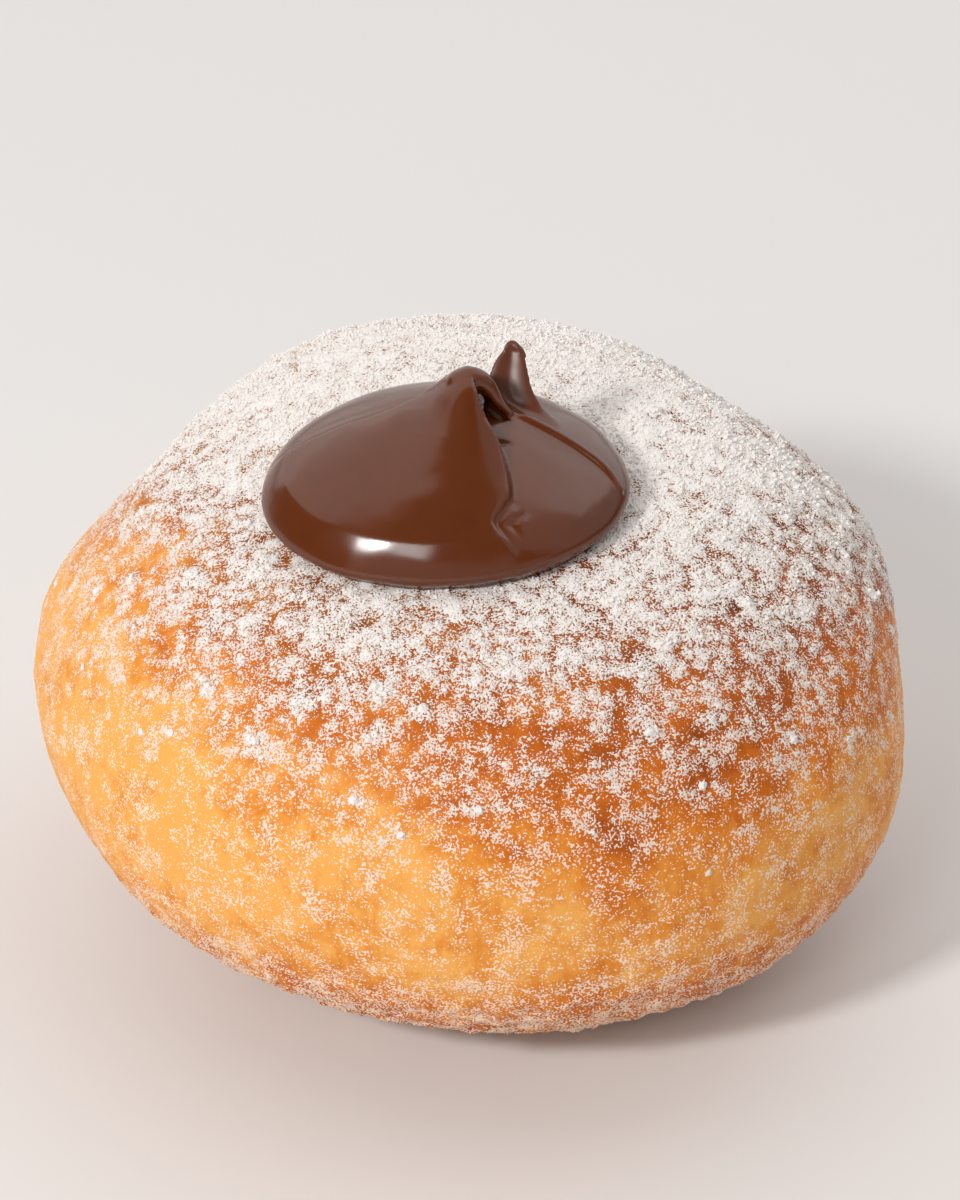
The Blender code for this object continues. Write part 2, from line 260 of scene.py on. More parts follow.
# A point's icing sugar, sifted from above and drifted to the right and the back: 0 where it hides
# half of the crust, 1 where all but pinholes and -1 where a sixth.
HALF_HIDDEN_AT, SUGAR_FADE = 46.2 * MM, 7.0 * MM
SUGAR_TO_THE_RIGHT, SUGAR_TO_THE_BACK, SUGAR_FRONT = 3.0, 13.0, -38 * MM
SUGAR_DRIFTS = (  # azimuth in degrees, height, spread, sugar
    (-212, 36 * MM, 10 * MM, 1.1),
    (-168, 43 * MM, 6 * MM, -0.6),
    (-118, 48 * MM, 8 * MM, 0.4),
    (8, 37 * MM, 10 * MM, 1.4),
)
SUGAR_ON_TOP, SUGAR_TOP_EDGE = 0.4, (43 * MM, 49 * MM)
SUGAR_UNDER_THE_CREAM = (-2.6 * MM, -1.6 * MM)
NO_SUGAR = -3


def sifted_sugar(places):
    height = places[:, 2]
    sifted = (height - HALF_HIDDEN_AT) / SUGAR_FADE
    sifted += SUGAR_TO_THE_RIGHT * places[:, 0] + SUGAR_TO_THE_BACK * (places[:, 1] - SUGAR_FRONT)
    sifted += SUGAR_ON_TOP * smooth_step(*SUGAR_TOP_EDGE, height)
    sifted = with_patches(sifted, places, SUGAR_DRIFTS)
    for lump in lump_places()[0]:
        off = np.linalg.norm(places - lump, axis=1)
        sifted += LUMP_POWDER * np.exp(-((off / LUMP_POWDER_SPREAD) ** 2))
    uncovered = smooth_step(*SUGAR_UNDER_THE_CREAM, clear_of_dollop(places))
    return (sifted - NO_SUGAR) * uncovered + NO_SUGAR


# The thin dust that clings to the rest, on the same scale: little above, most near the foot.
CLINGING_ABOVE, CLINGING_BELOW = -0.9, 0.4
CLINGING_HEIGHTS, CLINGING_EDGE = (22 * MM, 6 * MM), (0.4 * MM, 1.2 * MM)


def clinging_sugar(places):
    height = places[:, 2]
    low = smooth_step(*CLINGING_HEIGHTS, height)
    clinging = CLINGING_ABOVE + (CLINGING_BELOW - CLINGING_ABOVE) * low
    off_table = smooth_step(*CLINGING_EDGE, height)
    return clinging * off_table + NO_SUGAR * (1 - off_table)


def cube_mesh(name, cuts):
    """A cube from -1 to 1 with this many cuts across each side."""
    cube = bmesh.new()
    bmesh.ops.create_cube(cube, size=2)
    bmesh.ops.subdivide_edges(cube, edges=cube.edges[:], cuts=cuts, use_grid_fill=True)
    mesh = bpy.data.meshes.new(name)
    cube.to_mesh(mesh)
    cube.free()
    return mesh


def give(mesh, name, values):
    """A value at each of the mesh's points, under this name, for trees and materials to read."""
    mesh.attributes.new(name, "FLOAT", "POINT").data.foreach_set("value", values)


def places_of(mesh):
    """The mesh's points as rows."""
    flat = np.empty(len(mesh.vertices) * 3)
    mesh.vertices.foreach_get("co", flat)
    return flat.reshape(-1, 3)


# The tangent spreads the cube's points evenly over a ball, which gives the skin's directions.
bun_mesh = cube_mesh("fried_bun_dough", BUN_CUTS)
outward = np.tan(places_of(bun_mesh) * math.pi / 4)
outward /= np.linalg.norm(outward, axis=1)[:, None]
bun_places = bun_skin(outward)
bun_mesh.vertices.foreach_set("co", bun_places.ravel())
give(bun_mesh, "browning", browning(bun_places))
give(bun_mesh, "sifted", sifted_sugar(bun_places))
give(bun_mesh, "clinging", clinging_sugar(bun_places))
bun_mesh.update()
bun = new_object("fried_bun_dough", bun_mesh)

# The sugar's unevenness, widest first: width, how much it shifts what was sifted and what clings,
# the texture and its settings, and that texture's mean and spread. Clumps heap up inside cells.
# Real powder is about 0.02 mm fine; its pinholes and specks are drawn ten times as coarse, to show.
CLOUDY, IN_CELLS = "ShaderNodeTexNoise", "ShaderNodeTexVoronoi"
NOISE_MEAN = 0.5
SUGAR_PATCHES = (2.8 * MM, {"sifted": 0.3, "clinging": 0.4}, CLOUDY, {"Detail": 1.0}, NOISE_MEAN, 0.099)
SUGAR_CLUMPS = (1.2 * MM, {"sifted": 0.52, "clinging": 0.25}, IN_CELLS, {}, 0.52, -0.172)
PINHOLED = {"Detail": 1.0, "Roughness": 0.7}
SUGAR_PINHOLES = (0.23 * MM, {"sifted": 0.9}, CLOUDY, PINHOLED, NOISE_MEAN, 0.095)
DUST_SPECKS = (0.22 * MM, {"clinging": 0.9}, CLOUDY, {"Detail": 0.0}, NOISE_MEAN, 0.132)


def shifted(tree, onto, waves, mean, strength):
    """The value shifted by how far the waves are from their mean. For any node tree."""
    middle = add(tree, "ShaderNodeMath", {0: waves, 1: mean}, operation="SUBTRACT").outputs[0]
    shift = {0: middle, 1: strength, 2: onto}
    return add(tree, "ShaderNodeMath", shift, operation="MULTIPLY_ADD").outputs[0]


def unevenness(tree, place, kind, which, onto):
    """The thickness shifted by one kind of unevenness. For any node tree."""
    width, strengths, texture, settings, mean, spread = kind
    waves = add(tree, texture, {"Vector": place, "Scale": 1 / width} | settings).outputs[0]
    return shifted(tree, onto, waves, mean, strengths[which] / spread)


def sugar_amount(tree, place, which, thickness):
    """How thick the sugar lies at a place, with its patches and clumps."""
    patchy = unevenness(tree, place, SUGAR_PATCHES, which, thickness)
    return unevenness(tree, place, SUGAR_CLUMPS, which, patchy)


def new_tree(name, inputs):
    """An empty Geometry Nodes tree with these named inputs, each a kind of socket."""
    tree = bpy.data.node_groups.new(name, "GeometryNodeTree")
    tree.interface.new_socket("Geometry", in_out="OUTPUT", socket_type="NodeSocketGeometry")
    for label, kind in {"Geometry": "Geometry", **inputs}.items():
        tree.interface.new_socket(label, in_out="INPUT", socket_type="NodeSocket" + kind)
    return tree, tree.nodes.new("NodeGroupInput").outputs


def plain_mesh(carrier):
    """The carrier's mesh as its modifiers leave it. The modifiers then go."""
    evaluated = carrier.evaluated_get(bpy.context.evaluated_depsgraph_get())
    mesh = bpy.data.meshes.new_from_object(evaluated)
    carrier.modifiers.clear()
    return mesh


def grown(carrier, tree, values):
    """The mesh that the tree makes on the carrier with these values for its inputs."""
    modifier = carrier.modifiers.new(tree.name, "NODES")
    modifier.node_group = tree
    for item in tree.interface.items_tree:
        if item.in_out == "INPUT" and item.name in values:
            modifier[item.identifier] = values[item.name]
    return plain_mesh(carrier)


# The crust's own relief: shallow hollows from kneading, wrinkles where it dried, small blisters on
# the lower face and the sugar's thickness on it. It fades out at the foot, which is pressed flat.
RELIEF_SIZES = {
    "Hollow width": 12 * MM,
    "Hollow depth": 0.9 * MM,
    "Wrinkle width": 2.6 * MM,
    "Wrinkle depth": 0.35 * MM,
    "Blister width": 1.3 * MM,
    "Blister depth": 2.2 * MM,
    "Sugar depth": 0.15 * MM,
}
SUGAR_HEAPS = {"From Min": -0.6, "From Max": 3.4, "To Max": 4.0}
BLISTER_HEIGHTS = {"From Min": 20 * MM, "From Max": 5 * MM}
FOOT_HEIGHTS = {"From Max": 3 * MM}


def crust_relief():
    tree, given = new_tree("crust_relief", dict.fromkeys(RELIEF_SIZES, "Float"))
    place = add(tree, "GeometryNodeInputPosition").outputs[0]
    height = add(tree, "ShaderNodeSeparateXYZ", {0: place}).outputs["Z"]
    label = {"Name": "sifted"}
    sifted = add(tree, "GeometryNodeInputNamedAttribute", label, data_type="FLOAT").outputs[0]
    amount = sugar_amount(tree, place, "sifted", sifted)
    heaped = add(tree, "ShaderNodeMapRange", {"Value": amount} | SUGAR_HEAPS).outputs[0]
    sugar = {0: heaped, 1: given["Sugar depth"]}
    rise = add(tree, "ShaderNodeMath", sugar, operation="MULTIPLY").outputs[0]
    low = add(tree, "ShaderNodeMapRange", {"Value": height} | BLISTER_HEIGHTS).outputs[0]
    for kind, strength in (("Hollow", 1.0), ("Wrinkle", 1.0), ("Blister", low)):
        shares = {0: given[kind + " depth"], 1: strength}
        depth = add(tree, "ShaderNodeMath", shares, operation="MULTIPLY").outputs[0]
        scale = add(tree, "ShaderNodeMath", {0: 1.0, 1: given[kind + " width"]}, operation="DIVIDE")
        texture = {"Vector": place, "Scale": scale.outputs[0], "Detail": 3.0}
        waves = add(tree, "ShaderNodeTexNoise", texture).outputs[0]
        rise = shifted(tree, rise, waves, NOISE_MEAN, depth)
    free = add(tree, "ShaderNodeMapRange", {"Value": height} | FOOT_HEIGHTS).outputs[0]
    rise = add(tree, "ShaderNodeMath", {0: rise, 1: free}, operation="MULTIPLY").outputs[0]
    normal = add(tree, "GeometryNodeInputNormal").outputs[0]
    offset = add(tree, "ShaderNodeVectorMath", {0: normal, "Scale": rise}, operation="SCALE").outputs[0]
    moved = add(tree, "GeometryNodeSetPosition", {"Geometry": given["Geometry"], "Offset": offset})
    add(tree, "NodeGroupOutput", {"Geometry": moved.outputs[0]})
    return tree


bun.data = grown(bun, crust_relief(), RELIEF_SIZES)


# Deep-fried crust: matt and finely wrinkled, pale gold in the ring through amber to orange-brown,
# mottled where the fat bubbled. The icing sugar on it is powder too fine to be made as grains.
CRUST_COLOURS = {0.0: "#F3AC55", 0.25: "#E58F34", 0.5: "#CE6D16", 0.75: "#B0540C", 1.0: "#8A3F0A"}
CRUST_MOTTLES = {8 * MM: 1.1, 2.4 * MM: 0.6, 0.7 * MM: 0.4}  # the finest are drawn upward
DRAWN_UPWARD = (1, 1, 0.4)
DUST_COLOUR, DUST_SHOWS = "#F7E2D0", {"From Min": -0.2, "From Max": 0.3, "To Max": 0.86}
# The powder is darker and warmer where it lies thin between the clumps: partly a warm tint of thin
# powder, partly painted shade that gives the clumps depth.
THIN_POWDER_WITH_PAINTED_SHADE, THICK_POWDER = "#EBD9CB", "#F4EEE9"
POWDER_SHOWS = {"From Min": -0.14, "From Max": 0.16, "To Max": 0.97}
POWDER_HEAPS = {"From Max": 1.4}
POWDER_RELIEF = {"From Min": -0.3, "From Max": 1.5}
# Painted shade: how far the bare crust is darkened where the sifted sugar lies thick, for the shade in
# the pits between the clumps.
PAINTED_SHADE_AMONG_SUGAR = {"From Min": -0.4, "To Min": 1.0, "To Max": 0.5}
CRUST_TO_POWDER_ROUGHNESS = {"To Min": 0.55, "To Max": 0.95}
POWDER_BUMP, CRUST_BUMP = 0.22 * MM, 0.15 * MM


def crust_material():
    made, tree, shader, place = new_material("fried_crust_with_sugar")
    shade, sifted, clinging = (
        add(tree, "ShaderNodeAttribute", attribute_name=label).outputs["Fac"]
        for label in ("browning", "sifted", "clinging")
    )
    upward = {0: place, 1: DRAWN_UPWARD}
    drawn = add(tree, "ShaderNodeVectorMath", upward, operation="MULTIPLY").outputs[0]
    for spot, (width, strength) in zip((place, place, drawn), CRUST_MOTTLES.items()):
        texture = {"Vector": spot, "Scale": 1 / width, "Detail": 3.0, "Roughness": 0.6}
        mottle = add(tree, "ShaderNodeTexNoise", texture).outputs[0]
        shade = shifted(tree, shade, mottle, NOISE_MEAN, strength)
    ramp = add(tree, "ShaderNodeValToRGB", {"Fac": shade})
    elements = ramp.color_ramp.elements
    for position in list(CRUST_COLOURS)[1:-1]:
        elements.new(position)
    for element, (position, colour) in zip(elements, CRUST_COLOURS.items()):
        element.position = position
        element.color = linear(colour)

    amount = sugar_amount(tree, place, "clinging", clinging)
    dusted = {"Value": unevenness(tree, place, DUST_SPECKS, "clinging", amount)} | DUST_SHOWS
    dust = add(tree, "ShaderNodeMapRange", dusted, interpolation_type="SMOOTHSTEP").outputs[0]
    # A mix's socket 0 is its share of the second colour, and 6 and 7 are its two colours.
    colours = {0: dust, 6: ramp.outputs["Color"], 7: linear(DUST_COLOUR)}
    dusty = add(tree, "ShaderNodeMix", colours, data_type="RGBA").outputs[2]
    # Painted shade: the bare crust between the grains is darkened where the sifted sugar lies thick, for
    # the shade that falls in the pits among the clumps.
    painted_shade = add(tree, "ShaderNodeMapRange", {"Value": sifted} | PAINTED_SHADE_AMONG_SUGAR).outputs[0]
    shaded_by_paint = {0: dusty, "Scale": painted_shade}
    crust = add(tree, "ShaderNodeVectorMath", shaded_by_paint, operation="SCALE").outputs[0]

    amount = sugar_amount(tree, place, "sifted", sifted)
    powdered = {"Value": unevenness(tree, place, SUGAR_PINHOLES, "sifted", amount)}
    whitened = powdered | POWDER_SHOWS
    white = add(tree, "ShaderNodeMapRange", whitened, interpolation_type="SMOOTHSTEP").outputs[0]
    # Powder colour by how thick it lies: the thin colour is partly a warm tint and partly painted shade
    # between the clumps.
    heaped = add(tree, "ShaderNodeMapRange", powdered | POWDER_HEAPS).outputs[0]
    colours = {0: heaped, 6: linear(THIN_POWDER_WITH_PAINTED_SHADE), 7: linear(THICK_POWDER)}
    powder = add(tree, "ShaderNodeMix", colours, data_type="RGBA").outputs[2]
    colours = {0: white, 6: crust, 7: powder}
    colour = add(tree, "ShaderNodeMix", colours, data_type="RGBA").outputs[2]
    matt = {"Value": white} | CRUST_TO_POWDER_ROUGHNESS
    roughness = add(tree, "ShaderNodeMapRange", matt).outputs[0]

    relief = add(tree, "ShaderNodeMapRange", powdered | POWDER_RELIEF).outputs[0]
    bump = {"Strength": 0.5, "Distance": POWDER_BUMP, "Height": relief}
    normal = add(tree, "ShaderNodeBump", bump).outputs[0]
    bump = {"Strength": 0.3, "Distance": CRUST_BUMP, "Height": mottle, "Normal": normal}
    normal = add(tree, "ShaderNodeBump", bump).outputs[0]
    finish = {"Base Color": colour, "Roughness": roughness, "Normal": normal}
    feed(tree, shader, finish | {"Specular IOR Level": 0.18})
    return made


bun.data.materials.append(crust_material())
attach(bun, "root")
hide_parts("fried_bun")


# ---- The chocolate cream -------------------------------------
# A soft hazelnut and milk chocolate cream, piped in through the top until it welled up. Each coil
# slumped into the next; the last one was drawn up and flopped over, and left a hollow, a ridge
# running out to the right and a tail.

TOUCHING_GAP = 0.3 * MM
DOLLOP_FLANK = (  # share of the plan's radius, height above the bun
    (0.93, 0.0 * MM),
    (1.0, 1.7 * MM),
    (0.96, 3.1 * MM),
    (0.86, 4.5 * MM),
    (0.70, 5.9 * MM),
    (0.52, 7.2 * MM),
    (0.36, 8.2 * MM),
    (0.24, 8.7 * MM),
    (0.15, 9.0 * MM),
    (0.08, 9.1 * MM),
    (0.0, 9.1 * MM),
)
PEAK = (0.4 * MM, -4.1 * MM)
PEAK_RISE = 4.1 * MM
PEAK_SPREAD, PEAK_SPREAD_IN_FRONT, PEAK_POWER = 4.0 * MM, 6.0 * MM, 2.0
RIBBON_LIFT = 0.6 * MM
RIBBON_EDGE_WIDTH = 0.7 * MM
RIBBON_EDGE = np.array(  # in plan: along the crest to the peak, then down the seam
    [
        (-23.0, -4.0),
        (-14.6, -3.5),
        (-8.1, -3.2),
        (-3.0, -2.2),
        (0.0, -1.8),
        (0.7, -3.0),
        (0.8, -4.6),
        (1.4, -6.6),
        (2.0, -7.9),
        (3.6, -10.2),
        (4.4, -13.9),
        (3.8, -15.4),
        (2.8, -17.1),
        (4.5, -18.7),
        (4.8, -19.4),
        (4.0, -24.0),
    ]
) * MM
ARCH = np.array(  # place, with its height above the bun and its radius
    [
        (-0.6, -4.2, 12.2, 1.4),
        (0.35, -4.2, 12.75, 1.25),
        (1.2, -4.25, 12.7, 1.08),
        (2.0, -4.3, 12.2, 0.88),
        (2.6, -4.4, 11.4, 0.7),
        (3.15, -4.5, 10.4, 0.56),
        (3.8, -4.25, 9.3, 0.48),
        (4.7, -3.8, 8.2, 0.45),
    ]
) * MM
ARCH_BACK = np.array(  # the wall of cream that closes the space under the arch from behind
    [
        (0.6, -3.2, 11.2, 1.3),
        (1.6, -3.2, 10.9, 1.2),
        (2.4, -3.3, 10.1, 1.1),
        (3.1, -3.3, 9.2, 0.9),
        (3.9, -3.0, 8.4, 0.7),
    ]
) * MM
RIDGE = np.array(  # in plan, out from the arch's foot
    [(6.0, -4.1), (8.0, -4.65), (10.0, -5.35), (12.0, -6.25), (13.8, -7.4), (15.3, -8.9)]
) * MM
RIDGE_RADII = np.array([0.5, 0.5, 0.5, 0.46, 0.42, 0.34]) * MM
RIDGE_RISE = 0.12 * MM
HOLLOW = np.array(  # as the arch, but cut away
    [
        (1.35, -4.8, 11.3, 0.35),
        (1.5, -4.7, 10.6, 0.65),
        (1.9, -4.5, 9.9, 0.85),
        (2.7, -4.7, 9.1, 0.6),
        (3.9, -4.7, 8.2, 0.35),
    ]
) * MM
HOLLOW_DEPTH = np.array(  # the back of the hollow, as an arch too
    [(1.6, -4.7, 10.4, 0.7), (1.4, -3.9, 10.0, 0.85), (0.8, -3.3, 9.5, 0.85), (-0.1, -3.1, 8.9, 0.7)]
) * MM
TAIL = np.array(  # place, with its height above the bun, half width, half thickness
    [
        (5.3, -2.2, 5.4, 3.4, 1.0),
        (4.9, -1.5, 7.4, 2.9, 0.85),
        (4.3, -0.5, 9.2, 2.35, 0.7),
        (4.25, 0.5, 10.6, 1.95, 0.66),
        (4.4, 1.3, 11.6, 1.5, 0.56),
        (4.55, 1.9, 12.3, 0.85, 0.5),
    ]
) * MM
TAIL_HOOK = np.array([(4.6, 1.9, 12.4, 0.42), (5.3, 1.7, 12.2, 0.36), (5.85, 1.4, 11.6, 0.2)]) * MM
CREAM_CELL = 0.187 * MM  # keeps the cream under 200,000 triangles
PROFILE_CELL, PROFILE_REACH, PROFILE_HEIGHTS = 0.1 * MM, 26 * MM, (-4 * MM, 20 * MM)
CURVE_STEPS, LIMB_STEPS = 6, 5


def smooth_curve(points, steps):
    """A Catmull-Rom curve through the points, with this many steps from each to the next."""
    padded = np.concatenate([[2 * points[0] - points[1]], points, [2 * points[-1] - points[-2]]])
    shares = np.linspace(0, 1, steps, endpoint=False)[:, None]
    runs = []
    for before, start, end, after in zip(padded, padded[1:], padded[2:], padded[3:]):
        bend = (2 * before - 5 * start + 4 * end - after) * shares**2
        bend = bend + (3 * start - before - 3 * end + after) * shares**3
        runs.append((2 * start + (end - before) * shares + bend) / 2)
    return np.concatenate(runs + [points[-1:]])


def off_line(places, line):
    """How far each place is from the line, how far to its right, and how far along it, 0 to 1."""
    nearest = np.full(places.shape[:-1], np.inf)
    aside = np.zeros(places.shape[:-1])
    along = np.zeros(places.shape[:-1])
    for number, (start, end) in enumerate(zip(line, line[1:])):
        run = end - start
        share = np.clip((places - start) @ run / (run @ run), 0, 1)
        off = places - start - share[..., None] * run
        distance = np.linalg.norm(off, axis=-1)
        closer = distance < nearest
        nearest = np.where(closer, distance, nearest)
        along = np.where(closer, (number + share) / (len(line) - 1), along)
        if places.shape[-1] == 2:
            side = np.copysign(distance, off[..., 0] * run[1] - off[..., 1] * run[0])
            aside = np.where(closer, side, aside)
    return nearest, aside, along


def blended(first, second, width):
    """Two fields, each negative inside its shape, joined with a fillet of this width."""
    near = np.clip(width - np.abs(first - second), 0, None)
    return np.minimum(first, second) - near * near / (4 * width)


def net_over(field, low, cell):
    """The surface where the field is zero, one point in each cell that it crosses, as a mesh."""
    solid = field < 0
    shape = np.array(field.shape) - 1
    corners = [(i, j, k) for i in (0, 1) for j in (0, 1) for k in (0, 1)]
    spans = [[slice(at, at + size) for at, size in zip(corner, shape)] for corner in corners]
    count = sum(solid[tuple(span)].astype(np.int8) for span in spans)
    cells = np.argwhere((count > 0) & (count < 8))
    values = {c: field[tuple((cells + c).T)] for c in corners}
    total = np.zeros((len(cells), 3))
    crossings = np.zeros(len(cells))
    ahead = np.eye(3, dtype=int)
    for first in corners:
        for axis in range(3):
            if first[axis]:
                continue
            second = tuple(1 if number == axis else at for number, at in enumerate(first))
            one, two = values[first], values[second]
            crosses = (one < 0) != (two < 0)
            share = np.where(crosses, one / np.where(crosses, one - two, 1), 0)
            point = np.array(first) + np.outer(share, ahead[axis])
            total += point * crosses[:, None]
            crossings += crosses
    points = low + (cells + total / crossings[:, None]) * cell
    number = np.full(shape, -1)
    number[tuple(cells.T)] = np.arange(len(cells))
    faces = []
    for axis in range(3):
        one, two = [(1, 2), (2, 0), (0, 1)][axis]
        inner = [slice(1, -1)] * 3
        inner[axis] = slice(0, -1)
        here = solid[tuple(inner)]
        inner[axis] = slice(1, None)
        there = solid[tuple(inner)]
        edges = np.argwhere(here != there) + 1 - ahead[axis]
        leaves = here[here != there]
        a, b = ahead[one], ahead[two]
        ring = np.stack([number[tuple((edges - step).T)] for step in (a + b, b, 0 * a, a)], axis=1)
        faces.append(np.where(leaves[:, None], ring, ring[:, ::-1]))
    faces = np.concatenate(faces)
    mesh = bpy.data.meshes.new("chocolate_cream_dollop")
    mesh.from_pydata(points, [], faces.tolist())
    return mesh


LOW_CORNER, HIGH_CORNER = np.array([-21.6, -22.4, 46.0]) * MM, np.array([17.6, 11.0, 66.0]) * MM
MEAN_REACH = 16.5 * MM
rim_curve = smooth_curve(np.array(DOLLOP_FLANK) * (MEAN_REACH, 1), CURVE_STEPS)
rim_curve = np.concatenate([[(rim_curve[0, 0], -TOUCHING_GAP)], rim_curve])
INSIDE = 1.001  # keeps a look-up off the table's last entry


def profile_table():
    """The distance from the flank's curve, out to each side of it, over radius and height."""
    radii = np.arange(0, PROFILE_REACH, PROFILE_CELL)
    heights = np.arange(*PROFILE_HEIGHTS, PROFILE_CELL)
    places = np.stack(np.meshgrid(radii, heights, indexing="ij"), axis=-1)
    outline = np.concatenate([[(0, -TOUCHING_GAP)], rim_curve])
    distance = off_line(places, outline)[0]
    inside = np.zeros(distance.shape, bool)
    for start, end in zip(outline, np.roll(outline, -1, axis=0)):
        if start[1] == end[1]:
            continue
        spans = (start[1] <= places[..., 1]) != (end[1] <= places[..., 1])
        meets = start[0] + (places[..., 1] - start[1]) * (end[0] - start[0]) / (end[1] - start[1])
        inside ^= spans & (places[..., 0] < meets)
    return radii, heights, np.where(inside, -distance, distance)


def looked_up(firsts, seconds, values, first, second):
    """The table's value at each pair of a first and a second, evenly between its entries."""
    u = np.clip((first - firsts[0]) / (firsts[1] - firsts[0]), 0, len(firsts) - INSIDE)
    v = np.clip((second - seconds[0]) / (seconds[1] - seconds[0]), 0, len(seconds) - INSIDE)
    i, j = u.astype(int), v.astype(int)
    s, t = u - i, v - j
    lower = values[i, j] * (1 - s) + values[i + 1, j] * s
    upper = values[i, j + 1] * (1 - s) + values[i + 1, j + 1] * s
    return lower * (1 - t) + upper * t


bun_tree = BVHTree.FromObject(bun, bpy.context.evaluated_depsgraph_get())
SEAT_STEP = 1.0 * MM
SEAT_CALMINGS = 12
SEAT_MARGIN = 5 * MM
seat_x, seat_y = (
    np.arange(LOW_CORNER[axis] - SEAT_MARGIN, HIGH_CORNER[axis] + SEAT_MARGIN, SEAT_STEP)
    for axis in (0, 1)
)
seat_z = np.array(
    [[bun_tree.ray_cast(Vector((x, y, 1)), Vector((0, 0, -1)))[0].z for y in seat_y] for x in seat_x]
)
for _ in range(SEAT_CALMINGS):
    padded = np.pad(seat_z, 1, "edge")
    seat_z = sum(np.roll(padded, turn, axis) for turn, axis in ((1, 0), (-1, 0), (1, 1), (-1, 1)))
    seat_z = seat_z[1:-1, 1:-1] / 4


def seat_at(places):
    """The height of the bun's top under each place, with the gap that the cream keeps from it."""
    return looked_up(seat_x, seat_y, seat_z, places[..., 0], places[..., 1]) + TOUCHING_GAP


SHARE_ROUNDS = 8  # each place's centre depends on its share, so both are worked out in turn


def dollop_share(places):
    """How far out each place is, from 0 at the peak to 1 at the dollop's rim, and the reach there."""
    share = np.zeros(places.shape[:-1])
    for _ in range(SHARE_ROUNDS):
        gather = ((1 - np.clip(share, 0, 1)) ** 2)[..., None]
        off = places - (np.array(DOLLOP_MIDDLE) + (np.array(PEAK) - DOLLOP_MIDDLE) * gather)
        reach = dollop_reach(off)
        share = np.linalg.norm(off, axis=-1) / reach
    return share, reach


ribbon_line = smooth_curve(RIBBON_EDGE, CURVE_STEPS)

# Small marks on the cream in mm: place, half length, half width, turn in degrees, height.
CREAM_MARKS = (
    (3.3, -8.4, 1.1, 0.3, 0, -0.35),  # the short slit beside the seam
    (-4.3, -8.7, 2.6, 0.22, -29, 0.04),  # a faint drag line on the ribbon
    (1.0, -17.0, 2.0, 1.0, 75, -0.16),  # a flat dent left of the seam
    (-9.5, -13.5, 4.0, 2.2, -28, -0.05),
    (-4.0, -14.5, 1.6, 1.2, 10, 0.05),
    (-12.5, -9.0, 3.5, 2.2, 40, 0.05),
    (9.0, -12.0, 3.2, 1.6, -35, 0.06),
    (-0.5, -12.5, 2.6, 1.4, 80, 0.05),
)
SEAM_RIPPLE, SEAM_RIPPLE_SPACING, SEAM_RIPPLE_REACH = 0.2 * MM, 1.4 * MM, 4.8 * MM
CREST_RIPPLE, CREST_RIPPLE_SPACING, CREST_RIPPLE_REACH = 0.05 * MM, 1.6 * MM, 3.6 * MM
CREST_SHARES, SEAM_STARTS, SEAM_ENDS = (0.3, 0.24), (0.69, 0.72), (0.89, 0.86)
RIBBON_RIM, FOLD_RIM = 0.12, 0.25  # the outer shares of the mound in which they sink to nothing


def cream_lift(places, share):
    """What the last ribbon, its peak and the small folds add to the mound's height."""
    _, inside, along = off_line(places, ribbon_line)
    cover = smooth_step(-RIBBON_EDGE_WIDTH / 2, RIBBON_EDGE_WIDTH / 2, inside)
    off = places - PEAK
    spread = np.where(off[..., 1] < 0, PEAK_SPREAD_IN_FRONT, PEAK_SPREAD)
    from_peak = np.hypot(off[..., 0] / PEAK_SPREAD, off[..., 1] / spread)
    peak = PEAK_RISE * np.exp(-(from_peak**PEAK_POWER))
    lift = cover * (RIBBON_LIFT * np.clip((1 - share) / RIBBON_RIM, 0, 1) + peak)
    outside = np.clip(-inside, 0, None)
    fading = np.clip((1 - share) / FOLD_RIM, 0, 1) * (1 - cover)
    by_seam = smooth_step(*SEAM_STARTS, along) * smooth_step(*SEAM_ENDS, along)
    waves = 1 - 2 * np.abs(np.sin(math.pi * outside / SEAM_RIPPLE_SPACING))
    lift -= SEAM_RIPPLE * waves * by_seam * fading * np.clip(1 - outside / SEAM_RIPPLE_REACH, 0, 1)
    by_crest = smooth_step(*CREST_SHARES, along)
    waves = np.sin(2 * math.pi * outside / CREST_RIPPLE_SPACING)
    lift -= CREST_RIPPLE * waves * by_crest * fading * np.clip(1 - outside / CREST_RIPPLE_REACH, 0, 1)
    for x, y, half_length, half_width, turn, height in CREAM_MARKS:
        turned = math.radians(turn)
        off_x, off_y = places[..., 0] - x * MM, places[..., 1] - y * MM
        lengthwise = (off_x * math.cos(turned) + off_y * math.sin(turned)) / (half_length * MM)
        crosswise = (off_y * math.cos(turned) - off_x * math.sin(turned)) / (half_width * MM)
        lift = lift + height * MM * np.exp(-(lengthwise**2) - crosswise**2)
    return lift


def mound_top(places):
    """How high the cream stands at each place."""
    share, _ = dollop_share(places)
    crown = rim_curve[rim_curve[:, 0].argmax() :][::-1]
    flank = np.interp(share * MEAN_REACH, crown[:, 0], crown[:, 1])
    return seat_at(places) + flank + cream_lift(places, share)


def cream_field():
    """Negative inside the cream, over a grid of cells."""
    axes = [np.arange(low, high, CREAM_CELL) for low, high in zip(LOW_CORNER, HIGH_CORNER)]
    plan = np.stack(np.meshgrid(axes[0], axes[1], indexing="ij"), axis=-1)
    share, reach = dollop_share(plan)
    rise = axes[2][None, None, :] - (seat_at(plan) + cream_lift(plan, share))[..., None]
    radius = np.broadcast_to((share * MEAN_REACH)[..., None], rise.shape)
    return axes, looked_up(*profile_table(), radius, rise) * (reach / MEAN_REACH)[..., None]


def on_bun(path):
    """The path with its heights above the bun made heights above the table."""
    lifted = path.copy()
    lifted[:, 2] += seat_at(path[:, :2])
    return lifted


def limb_field(path):
    """A field for a round limb along these places, each with its radius."""
    curve = smooth_curve(path, LIMB_STEPS)

    def field(places):
        distance, _, along = off_line(places, curve[:, :3])
        return distance - np.interp(along * (len(curve) - 1), np.arange(len(curve)), curve[:, 3])

    return curve, field


LIMB_MARGIN = 4 * MM


